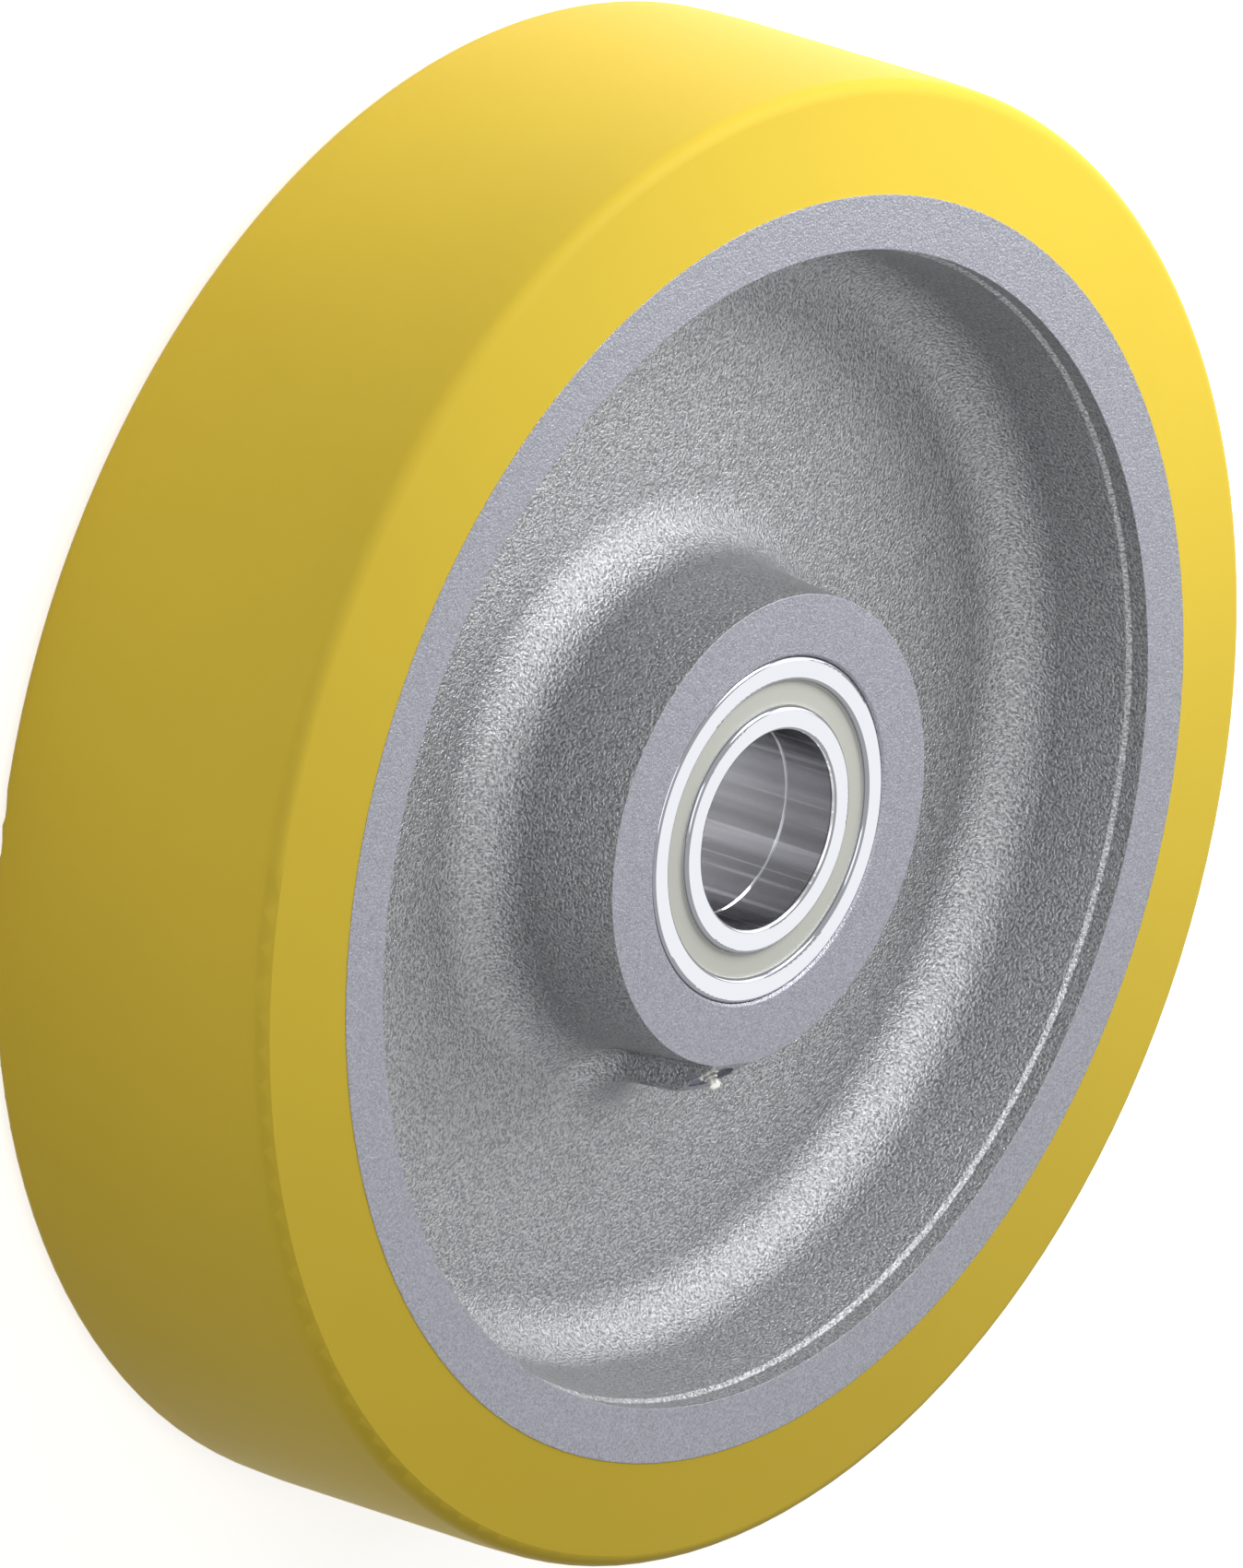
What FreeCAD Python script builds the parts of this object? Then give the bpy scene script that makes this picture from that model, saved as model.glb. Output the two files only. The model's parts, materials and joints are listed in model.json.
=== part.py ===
import FreeCAD, Part
import math
import os

# Heavy-duty wheel: a one-piece cast-iron centre with a thick polyurethane tyre bonded on its rim,
# two sealed ball bearings pressed in the hub, a tube that spaces their inner rings,
# and a grease nipple on a boss of the hub.
# Millimetres. The wheel's axis is +Z, its front face is at the top, the origin is its centre,
# and +X runs through the grease nipple. Depths are measured inwards from the front face.

V = FreeCAD.Vector

# Wheel centre casting
wheel_width = 75.0
rim_wall = 11.0
rim_counterbore_depth = 4.1
rim_ledge_step = 0.8
hub_outside_diameter = 95.0
hub_cavity_diameter = 64.0
web_thickness = 10.0
casting_draft = 5.0
casting_fillet = 12.0
facing_allowance = 3.0
seat_chamfer = 0.5

# Polyurethane tyre
wheel_diameter = 300.0
tyre_thickness = 22.5
tread_band_width = 50.0
tread_shoulder_drop = 0.4
tread_corner_radius = 3.3
tyre_side_setback = 3.25
tyre_edge_setback = 0.1

# Ball bearings
bearing_bore = 40.0
bearing_outside_diameter = 70.0
bearing_width = 12.0
ring_wall = 5.0
ring_corner_radius = 1.0
ring_end_chamfer = 0.2
shoulder_chamfer = 0.3
shoulder_rise = 0.45
ball_diameter = 6.747
ball_count = 13
ball_clearance = 0.03
groove_conformity = 0.52

# Seal on the outer side of each bearing
seal_recess = 1.2
seal_thickness = 0.6
seal_bead_height = 0.75
seal_bead_width = 0.8
seal_groove_width = 0.8
seal_groove_depth = 0.9
seal_clearance = 0.05

# Riveted sheet-steel cage of each bearing
cage_sheet = 0.45
cage_ball_clearance = 0.08
cage_ring_clearance = 0.45
rivet_diameter = 1.1
rivet_head_diameter = 2.0
rivet_head_height = 0.35
rivet_head_chamfer = 0.15
rivet_clearance = 0.02

# Tube between the inner rings
spacer_wall = 3.8
spacer_bore_chamfer = 0.5
spacer_edge_chamfer = 0.3

# Boss on the hub for the grease nipple
boss_half_width = 5.0
boss_projection = 7.6
boss_slope_foot_depth = 10.4
boss_corner_radius = 2.0
boss_crease_fillet = 3.0
boss_foot_sink = 0.12

# Spot face, nipple hole and grease duct, tilted from the wheel's axis
nipple_tilt = 45.0
nipple_seat_projection = 2.7
nipple_seat_depth = 6.3
spot_face_diameter = 9.4
spot_face_reach = 12.0
thread_clearance = 0.02
duct_diameter = 1.8

# Grease nipple: heights are measured from its seat
shank_diameter = 3.4
shank_length = 5.0
nipple_hex_size = 4.0
nipple_hex_height = 0.8
nipple_body_diameter = 2.9
nipple_neck_diameter = 2.1
nipple_neck_height = 1.8
nipple_neck_width = 0.4
nipple_head_diameter = 2.8
nipple_head_height = 1.1
nipple_height = 4.0
nipple_tip_diameter = 1.4
nipple_edge = 0.2
nipple_bore_diameter = 1.5
nipple_mouth_diameter = 0.9
nipple_foot_bore_diameter = 1.0
nipple_foot_height = 0.6
nipple_tip_wall = 0.5

# Ball valve in the nipple
valve_ball_diameter = 1.3
valve_clearance = 0.03
spring_wire = 0.2
spring_mean_diameter = 1.05
spring_turns = 7

# Points nearer than this count as one, and cutters run past a surface by the overrun
same_point = 1e-4
overrun = 1.0

# Values worked out from the sizes above
half_width = wheel_width / 2
hub_radius = hub_outside_diameter / 2
cavity_radius = hub_cavity_diameter / 2
rim_out = wheel_diameter / 2 - tyre_thickness
rim_in = rim_out - rim_wall
draft = math.tan(math.radians(casting_draft))
web_top = web_thickness / 2
boss_end = hub_radius + boss_projection
boss_slope_foot = half_width - boss_slope_foot_depth
nipple_seat_radius = hub_radius + nipple_seat_projection
bore_radius = bearing_bore / 2
bearing_radius = bearing_outside_diameter / 2
bearing_back = half_width - bearing_width
inner_land = bore_radius + ring_wall
outer_land = bearing_radius - ring_wall
inner_shoulder = inner_land + shoulder_rise
outer_shoulder = outer_land - shoulder_rise
pitch_radius = (inner_land + outer_land) / 2
ball_radius = ball_diameter / 2
ball_height = half_width - bearing_width / 2
groove_radius = groove_conformity * ball_diameter
seal_face = half_width - seal_recess
seal_groove_back = seal_face - seal_groove_width
spacer_radius = bore_radius + spacer_wall
cage_inner = inner_shoulder + cage_ring_clearance
cage_outer = outer_shoulder - cage_ring_clearance
pocket_radius = ball_radius + cage_ball_clearance
valve_ball_radius = valve_ball_diameter / 2


def rounded_profile(corners):
    """Face in the XZ plane through corners, each given as radius, height and rounding.

    A rounded corner is an arc that touches both of its sides.
    """
    count = len(corners)
    turns = []
    for i, (x, z, rounding) in enumerate(corners):
        corner = V(x, 0, z)
        if rounding == 0:
            turns.append((corner, None, corner))
            continue
        before = V(corners[i - 1][0], 0, corners[i - 1][1]).sub(corner)
        after = V(corners[(i + 1) % count][0], 0, corners[(i + 1) % count][1]).sub(corner)
        before.normalize()
        after.normalize()
        half_angle = before.getAngle(after) / 2
        reach = rounding / math.tan(half_angle)
        inwards = before.add(after)
        inwards.normalize()
        bulge = rounding / math.sin(half_angle) - rounding
        start = corner.add(V(before).multiply(reach))
        end = corner.add(V(after).multiply(reach))
        turns.append((start, corner.add(V(inwards).multiply(bulge)), end))
    edges = []
    for i, (start, middle, end) in enumerate(turns):
        if middle is not None:
            edges.append(Part.Arc(start, middle, end).toShape())
        next_start = turns[(i + 1) % count][0]
        if end.distanceToPoint(next_start) > same_point:
            edges.append(Part.makeLine(end, next_start))
    return Part.Face(Part.Wire(edges))


def turned(corners):
    """Solid of revolution about the Z axis from the corners of its section."""
    return rounded_profile(corners).revolve(V(0, 0, 0), V(0, 0, 1), 360)


def mirrored_corners(front_half):
    """Corners of a section that is the same in front of and behind the middle plane."""
    return front_half + [(r, -z, rounding) for r, z, rounding in reversed(front_half)]


def ring(inner, outer, low, high):
    """Plain ring between two radii and two heights."""
    disc = Part.makeCylinder(outer, high - low, V(0, 0, low))
    return disc.cut(Part.makeCylinder(inner, high - low, V(0, 0, low)))


def around_axis(shape, count, first_angle=0.0):
    """Copies of a shape, evenly spaced around the wheel's axis."""
    copies = []
    for i in range(count):
        copy = shape.copy()
        copy.rotate(V(0, 0, 0), V(0, 0, 1), first_angle + 360.0 * i / count)
        copies.append(copy)
    return copies


def on_back(shape):
    """The same piece on the back of the wheel, turned over about the X axis."""
    back = shape.copy()
    back.rotate(V(0, 0, 0), V(1, 0, 0), 180)
    return back


def on_nipple_seat(shape):
    """Carries a shape made about +Z at the origin to the nipple's seat on the boss."""
    placed = shape.copy()
    placed.rotate(V(0, 0, 0), V(0, 1, 0), 90 - nipple_tilt)
    placed.translate(V(nipple_seat_radius, 0, half_width - nipple_seat_depth))
    return placed


def make_blank():
    """Turned form of the raw casting, with the hub's front face still to be machined."""
    raw_top = half_width + facing_allowance
    ledge = half_width - rim_counterbore_depth
    wall_top = ledge - rim_ledge_step
    wall_radius = rim_in - rim_ledge_step
    hub_foot = (hub_radius + (half_width - web_top) * draft, casting_fillet)
    wall_foot = (wall_radius - (wall_top - web_top) * draft, casting_fillet)
    return turned([
        (cavity_radius, raw_top, 0),
        (hub_radius - facing_allowance * draft, raw_top, 0),
        (hub_foot[0], web_top, hub_foot[1]),
        (wall_foot[0], web_top, wall_foot[1]),
        (wall_radius, wall_top, 0),
        (rim_in, ledge, 0),
        (rim_in, half_width, 0),
        (rim_out, half_width, 0),
        (rim_out, -half_width, 0),
        (rim_in, -half_width, 0),
        (rim_in, -ledge, 0),
        (wall_radius, -wall_top, 0),
        (wall_foot[0], -web_top, wall_foot[1]),
        (hub_foot[0], -web_top, hub_foot[1]),
        (hub_radius, -half_width, 0),
        (cavity_radius, -half_width, 0),
    ])


def make_rib():
    """Upright rib for the boss, flared into the web by the casting's own fillet.

    Its end has the casting's draft and stands at boss_end at the foot of the slope. Its own foot is
    sunk a hair into the web, so that the flare meets the web at a clean line.
    """
    foot = web_top - boss_foot_sink
    root = (cavity_radius + hub_radius) / 2
    top = half_width + facing_allowance
    spread = casting_fillet + boss_half_width + overrun
    side_view = Part.Face(Part.makePolygon([
        V(root, -boss_half_width, 0),
        V(boss_end + boss_slope_foot * draft, -boss_half_width, 0),
        V(boss_end - (top - boss_slope_foot) * draft, -boss_half_width, top),
        V(root, -boss_half_width, top),
        V(root, -boss_half_width, 0),
    ]))
    upright = side_view.extrude(V(0, 2 * boss_half_width, 0))
    corners = [edge for edge in upright.Edges
               if edge.CenterOfMass.x > hub_radius and edge.BoundBox.ZLength > top / 2]
    upright = upright.makeFillet(boss_corner_radius, corners)
    plate = Part.makeBox(boss_end + 2 * casting_fillet - root, 2 * spread, foot,
                         V(root, -spread, 0))
    rib = plate.fuse(upright).removeSplitter()
    foot_edges = []
    for edge in rib.Edges:
        ends = [vertex.Point for vertex in edge.Vertexes]
        at_foot = all(abs(p.z - foot) < same_point for p in ends)
        on_upright = all(abs(p.y) < boss_half_width + same_point for p in ends)
        if at_foot and on_upright and max(p.x for p in ends) > root + same_point:
            foot_edges.append(edge)
    return rib.makeFillet(casting_fillet, foot_edges)


def shared_edges(fused, first, second, lowest):
    """Edges of a fused solid above a height where its two parents' skins cross."""
    found = []
    for edge in fused.Edges:
        middle = edge.valueAt((edge.FirstParameter + edge.LastParameter) / 2)
        point = Part.Vertex(middle)
        gaps = [point.distToShape(parent.Shells[0])[0] for parent in (first, second)]
        if max(gaps) < same_point and middle.z > lowest + same_point:
            found.append(edge)
    return found


def make_slope_cutter():
    """What is missing above the boss's sloping top, which runs out at the hub's edge."""
    start = math.sqrt(hub_radius ** 2 - boss_half_width ** 2)
    fall = boss_slope_foot_depth / (boss_end - start)
    far = boss_end + facing_allowance
    wide = boss_half_width + casting_fillet
    above = half_width + 2 * facing_allowance
    side_view = Part.Face(Part.makePolygon([
        V(start, -wide, half_width),
        V(far, -wide, half_width - (far - start) * fall),
        V(far, -wide, above),
        V(start, -wide, above),
        V(start, -wide, half_width),
    ]))
    return side_view.extrude(V(0, 2 * wide, 0))


def make_wheel_centre():
    """Iron casting of hub, dished web and rim, with its boss, then machined."""
    blank = make_blank()
    rib = make_rib()
    casting = blank.fuse(rib).removeSplitter()
    creases = shared_edges(casting, blank, rib, web_top)
    casting = casting.makeFillet(boss_crease_fillet, creases)
    casting = casting.cut(make_slope_cutter())
    raw_top = half_width + 2 * facing_allowance
    casting = casting.cut(Part.makeCylinder(rim_in, raw_top - half_width, V(0, 0, half_width)))
    seat_cutter = turned([
        (0, bearing_back, 0),
        (bearing_radius, bearing_back, 0),
        (bearing_radius, half_width - seat_chamfer, 0),
        (bearing_radius + seat_chamfer, half_width, 0),
        (0, half_width, 0),
    ])
    spot_face = Part.makeCylinder(spot_face_diameter / 2, spot_face_reach)
    hole = Part.makeCylinder(shank_diameter / 2 + thread_clearance, shank_length,
                             V(0, 0, -shank_length))
    duct_run = (nipple_seat_radius - cavity_radius) / math.sin(math.radians(nipple_tilt))
    duct_run = duct_run + overrun
    duct = Part.makeCylinder(duct_diameter / 2, duct_run, V(0, 0, -duct_run))
    for cutter in (seat_cutter, on_back(seat_cutter), on_nipple_seat(spot_face),
                   on_nipple_seat(hole), on_nipple_seat(duct)):
        casting = casting.cut(cutter)
    return casting


def make_tyre():
    """Polyurethane tyre: flat band, eased shoulders, round corners and coned sides."""
    tread_radius = wheel_diameter / 2
    return turned(mirrored_corners([
        (rim_out, half_width - tyre_edge_setback, 0),
        (tread_radius - tread_shoulder_drop, half_width - tyre_side_setback, tread_corner_radius),
        (tread_radius, tread_band_width / 2, 0),
    ]))


def make_outer_ring():
    """Outer ring: corner radii, seal groove on the outer side and a round raceway."""
    body = turned([
        (bearing_radius, half_width, ring_corner_radius),
        (bearing_radius, bearing_back, ring_corner_radius),
        (outer_shoulder + shoulder_chamfer, bearing_back, 0),
        (outer_shoulder, bearing_back + shoulder_chamfer, 0),
        (outer_shoulder, seal_groove_back, 0),
        (outer_land + seal_groove_depth, seal_groove_back, 0),
        (outer_land + seal_groove_depth, seal_face, 0),
        (outer_land, seal_face, 0),
        (outer_land, half_width, ring_corner_radius),
    ])
    raceway_centre = pitch_radius + ball_radius + ball_clearance - groove_radius
    return body.cut(Part.makeTorus(raceway_centre, groove_radius, V(0, 0, ball_height)))


def make_inner_ring():
    """Inner ring: corner radii, a land for the seal's lip and a round raceway."""
    body = turned([
        (bore_radius, half_width, ring_corner_radius),
        (inner_land, half_width, ring_corner_radius),
        (inner_land, seal_groove_back, 0),
        (inner_shoulder, seal_groove_back, 0),
        (inner_shoulder, bearing_back + shoulder_chamfer, 0),
        (inner_shoulder - shoulder_chamfer, bearing_back, 0),
        (bore_radius + ring_end_chamfer, bearing_back, 0),
        (bore_radius, bearing_back + ring_end_chamfer, 0),
    ])
    raceway_centre = pitch_radius - ball_radius - ball_clearance + groove_radius
    return body.cut(Part.makeTorus(raceway_centre, groove_radius, V(0, 0, ball_height)))


def make_seal():
    """Sealing disc: a bead that snaps in the outer ring and a lip over the inner ring."""
    bead_radius = outer_land + seal_groove_depth - seal_clearance
    return turned([
        (inner_land + seal_clearance, seal_face, 0),
        (bead_radius, seal_face, 0),
        (bead_radius, seal_face - seal_bead_height, 0),
        (bead_radius - seal_bead_width, seal_face - seal_bead_height, 0),
        (bead_radius - seal_bead_width, seal_face - seal_thickness, 0),
        (inner_land + seal_clearance, seal_face - seal_thickness, 0),
    ])


def make_balls():
    """Set of balls on the pitch circle."""
    ball = Part.makeSphere(ball_radius, V(pitch_radius, 0, ball_height))
    return Part.makeCompound(around_axis(ball, ball_count))


def make_cage_half(outboard):
    """Pressed ribbon half: flats between the balls, domed pockets and rivet holes."""
    flat = ring(cage_inner, cage_outer, 0, cage_sheet)
    band = ring(cage_inner, cage_outer, 0, pocket_radius + 2 * cage_sheet)
    dome = Part.makeSphere(pocket_radius + cage_sheet, V(pitch_radius, 0, 0)).common(band)
    pocket = Part.makeSphere(pocket_radius, V(pitch_radius, 0, 0))
    hole = Part.makeCylinder(rivet_diameter / 2 + rivet_clearance, cage_sheet,
                             V(pitch_radius, 0, 0))
    half = flat.fuse(around_axis(dome, ball_count))
    half = half.cut(around_axis(pocket, ball_count))
    half = half.cut(around_axis(hole, ball_count, 180.0 / ball_count))
    if not outboard:
        half = half.mirror(V(0, 0, 0), V(0, 0, 1))
    half.translate(V(0, 0, ball_height))
    return half


def make_cage_rivets():
    """Rivets that close the two cage halves on each other, headed on both sides."""
    grip = cage_sheet
    shank = rivet_diameter / 2
    head = rivet_head_diameter / 2
    crown = grip + rivet_head_height
    rivet = turned(mirrored_corners([
        (0, crown, 0),
        (head - rivet_head_chamfer, crown, 0),
        (head, crown - rivet_head_chamfer, 0),
        (head, grip, 0),
        (shank, grip, 0),
    ]))
    rivet.translate(V(pitch_radius, 0, ball_height))
    return Part.makeCompound(around_axis(rivet, ball_count, 180.0 / ball_count))


def make_spacer_tube():
    """Turned tube that keeps the inner rings apart when the axle is tightened."""
    return turned(mirrored_corners([
        (bore_radius, bearing_back - spacer_bore_chamfer, 0),
        (bore_radius + spacer_bore_chamfer, bearing_back, 0),
        (spacer_radius - spacer_edge_chamfer, bearing_back, 0),
        (spacer_radius, bearing_back - spacer_edge_chamfer, 0),
    ]))


def valve_seat_height():
    """Height above the nipple's seat where its bore starts to narrow to the mouth."""
    cone = (nipple_bore_diameter - nipple_mouth_diameter) / 2
    return nipple_height - nipple_tip_wall - cone


def valve_ball_height():
    """Height of the ball's centre when it closes the 45 degree cone under the mouth."""
    reach = math.sqrt(2) * (valve_ball_radius + valve_clearance)
    return valve_seat_height() + nipple_bore_diameter / 2 - reach


def make_grease_nipple():
    """Nipple: plain-turned thread, hexagon, neck, head and a bore with a ball seat."""
    neck = nipple_neck_diameter / 2
    head = nipple_head_diameter / 2
    neck_top = nipple_neck_height + nipple_neck_width
    seat = valve_seat_height()
    foot = nipple_foot_height - shank_length
    body = turned([
        (0, -shank_length, 0),
        (shank_diameter / 2, -shank_length, nipple_edge),
        (shank_diameter / 2, 0, 0),
        (nipple_body_diameter / 2, nipple_hex_height, 0),
        (nipple_body_diameter / 2, nipple_neck_height - nipple_edge, 0),
        (neck, nipple_neck_height, 0),
        (neck, neck_top, 0),
        (head, neck_top + nipple_edge, 0),
        (head, neck_top + nipple_head_height, 0),
        (nipple_tip_diameter / 2, nipple_height, nipple_edge),
        (0, nipple_height, 0),
    ])
    corner_radius = nipple_hex_size / math.sqrt(3)
    hexagon = Part.Face(Part.makePolygon([
        V(corner_radius * math.cos(math.radians(60 * i)),
          corner_radius * math.sin(math.radians(60 * i)), 0)
        for i in range(7)
    ]))
    bore = turned([
        (0, -shank_length - overrun, 0),
        (nipple_foot_bore_diameter / 2, -shank_length - overrun, 0),
        (nipple_foot_bore_diameter / 2, foot, 0),
        (nipple_bore_diameter / 2, foot, 0),
        (nipple_bore_diameter / 2, seat, 0),
        (nipple_mouth_diameter / 2, nipple_height - nipple_tip_wall, 0),
        (nipple_mouth_diameter / 2, nipple_height + overrun, 0),
        (0, nipple_height + overrun, 0),
    ])
    nipple = body.fuse(hexagon.extrude(V(0, 0, nipple_hex_height))).cut(bore)
    return on_nipple_seat(nipple)


def make_nipple_ball():
    """Ball that closes the nipple's mouth."""
    return on_nipple_seat(Part.makeSphere(valve_ball_radius, V(0, 0, valve_ball_height())))


def make_nipple_spring():
    """Coil spring between the nipple's crimped foot and the ball."""
    coil_radius = spring_mean_diameter / 2
    wire_radius = spring_wire / 2
    touch = valve_ball_radius + wire_radius + valve_clearance
    top = valve_ball_height() - math.sqrt(touch ** 2 - coil_radius ** 2)
    bottom = nipple_foot_height - shank_length + wire_radius + valve_clearance
    helix = Part.makeHelix((top - bottom) / spring_turns, top - bottom, coil_radius)
    section = Part.makeCircle(wire_radius, V(coil_radius, 0, 0), V(0, 1, 0))
    coil = Part.Wire(helix.Edges).makePipeShell([Part.Wire(section)], True, True)
    coil.translate(V(0, 0, bottom))
    return on_nipple_seat(coil)


def make_bearing():
    """The pieces of the front bearing, by name."""
    return {
        "outer_ring": make_outer_ring(),
        "inner_ring": make_inner_ring(),
        "balls": make_balls(),
        "cage_half_outboard": make_cage_half(True),
        "cage_half_inboard": make_cage_half(False),
        "cage_rivets": make_cage_rivets(),
        "seal": make_seal(),
    }


def build():
    """Every piece of the wheel, by node name."""
    nodes = {
        "wheel_centre": make_wheel_centre(),
        "tyre": make_tyre(),
        "spacer_tube": make_spacer_tube(),
        "grease_nipple": make_grease_nipple(),
        "nipple_ball": make_nipple_ball(),
        "nipple_spring": make_nipple_spring(),
    }
    for name, shape in make_bearing().items():
        nodes["front_" + name] = shape
        nodes["back_" + name] = on_back(shape)
    return nodes


def main():
    os.makedirs("parts", exist_ok=True)
    for name, shape in build().items():
        shape.exportStep("parts/" + name + ".step")
        print(name, "solids", len(shape.Solids), "volume", round(shape.Volume, 2))


if __name__ == "__main__":
    main()
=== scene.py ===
import json
import math

import bmesh
import bpy
import numpy as np
from bpy.props import FloatProperty, FloatVectorProperty, IntProperty, PointerProperty
from mathutils import Matrix, Vector


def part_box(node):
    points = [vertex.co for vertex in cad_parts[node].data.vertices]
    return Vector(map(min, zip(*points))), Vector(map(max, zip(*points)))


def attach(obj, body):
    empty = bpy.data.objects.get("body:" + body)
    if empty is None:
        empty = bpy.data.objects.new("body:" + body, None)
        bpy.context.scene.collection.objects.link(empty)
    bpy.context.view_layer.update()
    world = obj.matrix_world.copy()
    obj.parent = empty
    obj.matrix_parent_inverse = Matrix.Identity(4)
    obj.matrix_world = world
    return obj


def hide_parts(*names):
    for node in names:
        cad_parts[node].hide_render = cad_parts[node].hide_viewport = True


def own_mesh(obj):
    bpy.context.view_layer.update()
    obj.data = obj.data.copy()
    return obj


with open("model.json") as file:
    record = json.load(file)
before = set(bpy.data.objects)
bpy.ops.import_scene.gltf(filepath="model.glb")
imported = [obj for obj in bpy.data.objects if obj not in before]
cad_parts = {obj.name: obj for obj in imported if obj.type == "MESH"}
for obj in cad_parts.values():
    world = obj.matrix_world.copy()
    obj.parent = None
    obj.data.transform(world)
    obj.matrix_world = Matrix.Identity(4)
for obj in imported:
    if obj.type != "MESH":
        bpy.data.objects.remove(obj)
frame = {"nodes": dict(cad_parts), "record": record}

bl_info = {
    "name": "Heavy-Duty Wheel",
    "version": (1, 0, 0),
    "blender": (4, 5, 0),
    "location": "3D View > Sidebar > Wheel",
    "description": "Finishes a cast-iron castor wheel and sets it on its studio stage",
    "category": "Object",
}

MM = 0.001

# The axle runs along Z, out of the front face. The nipple stands on the hub's X side and leans half
# way between the axle and the wheel's plane.
AXLE = Vector((0, 0, 1))
NIPPLE_AXIS = Vector((math.sqrt(0.5), 0, math.sqrt(0.5)))

# Heights of the wheel's two faces, and the depth to which their turned finish reaches.
BACK_FACE, FRONT_FACE = (corner.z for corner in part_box("wheel_centre"))
FINISH_DEPTH = 0.05 * MM

# Radii of the turned seats in the casting: the bearing's, out to the end of its lead-in chamfer,
# and the nipple's.
BEARING_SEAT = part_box("front_outer_ring")[1].x + 0.6 * MM
NIPPLE_SEAT = 5.1 * MM

# Where the nipple boss flares into the web, along X, Y and Z.
BOSS_FOOT = ((50 * MM, 76 * MM), (-26 * MM, 26 * MM), (4 * MM, 17 * MM))

# Radius of the axle's bore, and the radii out to which its finish reaches: into the rounded corners
# of a ring, and just past the wall of the spacer.
AXLE_BORE = next(m["dims"]["r_mm"] for m in frame["record"]["mounts"]
                 if m["name"] == "axle_bore") * MM
RING_BORE = AXLE_BORE + 0.3 * MM
SPACER_BORE = AXLE_BORE + 0.05 * MM

# How much of the axle's direction a ring's curved corner faces: more than the ring's walls do,
# and less than its flat ends. There the ring's colour is painted darker, as painted shade.
CORNER_FACING = (0.12, 0.97)

# Widths of the finishes' patterns. Real grinding marks are about a hundredth of a millimetre wide,
# and a hone's strokes a tenth; the grinding marks are drawn wider, so that they show. The bore's
# patterns are not the hone's strokes: they are painted reflection streaks and painted glints.
LACQUER_PATCH = 30 * MM
RESIN_CLOUD = 45 * MM
ORANGE_PEEL = 1.6 * MM
GRINDING_MARK = 0.12 * MM
# Widths of the bore's painted reflection streaks and of its thin painted glints.
PAINTED_REFLECTION_BAND = 5 * MM
PAINTED_GLINT_WIDTH = 1.8 * MM
SEAL_GRAIN = 0.3 * MM
ROLLING_MOTTLE = 0.5 * MM

# How much longer than wide the bore's painted reflection streaks and glints are.
PAINTED_STREAK_STRETCH = 50

# Against the casting's sand grain, how much finer the grain of its turned faces is, and the share
# of its height that they keep, and that the nipple's seat keeps.
TURNED_FINENESS = 1.4
TURNED_RELIEF = 0.4
NIPPLE_SEAT_RELIEF = 0.08

# The spring's mesh: steps along each of its turns, and sides round its wire.
COIL_STEPS = 24
WIRE_SIDES = 10

# The floor's radius in metres, its corners, and the part of white that it gives off where it is
# looked at. The lamps bring it up to white round the wheel.
FLOOR_RADIUS = 20.0
FLOOR_CORNERS = 96
FLOOR_GLOW = 0.74

# The photograph's view. Of the directions in the wheel's plane, PICTURE_UP is the one that it shows
# at full length, and TOWARDS_VIEWER the one that it shortens. The nipple lies NIPPLE_TURN away from
# the direction opposite to PICTURE_UP.
NIPPLE_TURN = math.radians(15)
PICTURE_UP = Vector((-math.cos(NIPPLE_TURN), math.sin(NIPPLE_TURN), 0))
TOWARDS_VIEWER = AXLE.cross(PICTURE_UP)

# The camera's direction from the wheel: its part along the axle, which is about the short measure
# of the wheel's circles in the photograph over their long one, and its part in the wheel's plane.
VIEW_RISE = 0.5954
VIEW_SPREAD = math.sqrt(1 - VIEW_RISE ** 2)

# The angle by which the axle dips to the right in the picture, from its drop and its run.
PICTURE_LEAN = math.atan2(0.2999, 0.954)


def linear(code):
    """Linear RGB of an sRGB colour written as a six-digit hex code.

    Each channel c becomes c / 12.92 under 0.04045, and ((c + 0.055) / 1.055) to the 2.4 above it.
    """
    channels = [int(code[i:i + 2], 16) / 255 for i in (0, 2, 4)]
    return [c / 12.92 if c <= 0.04045 else ((c + 0.055) / 1.055) ** 2.4 for c in channels]


def colour_setting(name, description, code):
    """A colour that a user may change, with its default written as a hex code."""
    return FloatVectorProperty(name=name, description=description, subtype="COLOR", size=3,
                               min=0, max=1, default=linear(code))


def length_setting(name, description, millimetres):
    """A length that a user may change, with its default in millimetres."""
    return FloatProperty(name=name, description=description, unit="LENGTH",
                         default=millimetres * MM, precision=5)


def factor_setting(name, description, value):
    """A share from 0 to 1 that a user may change."""
    return FloatProperty(name=name, description=description, subtype="FACTOR",
                         default=value, min=0, max=1)


class CastingSettings(bpy.types.PropertyGroup):
    lacquer: colour_setting("Lacquer", "Silver-grey lacquer on the cast skin", "B1B2B4")
    machined: colour_setting("Machined faces", "Turned faces of the hub and the rim", "9E9FA8")
    grain: length_setting("Sand grain", "Size of one grain of the cast skin", 0.6)
    grain_height: length_setting("Grain height", "Height of the grains", 0.54)
    gloss_spread: factor_setting("Roughness", "Roughness of the lacquer", 0.3)


class TyreSettings(bpy.types.PropertyGroup):
    colour: colour_setting("Polyurethane", "Colour of the cast polyurethane", "EBCD47")
    gloss_spread: factor_setting("Roughness", "Roughness of the moulded skin", 0.46)


class BearingSettings(bpy.types.PropertyGroup):
    steel: colour_setting("Ring steel", "Ground steel of the rings and the balls", "EEF0F6")
    # The ring corners' colour is painted shade: darker, for the dark reflections of the rings'
    # curved corners.
    corner: colour_setting("Ring corners", "Rounded corners, left as turned", "9A9BA1")
    bore: colour_setting("Bore steel", "Oiled steel of the bores", "C8C8CB")
    cage: colour_setting("Cage steel", "Pressed sheet steel of the cages", "B4AFA4")
    seal: colour_setting("Seal", "Matt face of the seal discs", "D0D1C8")


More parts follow.
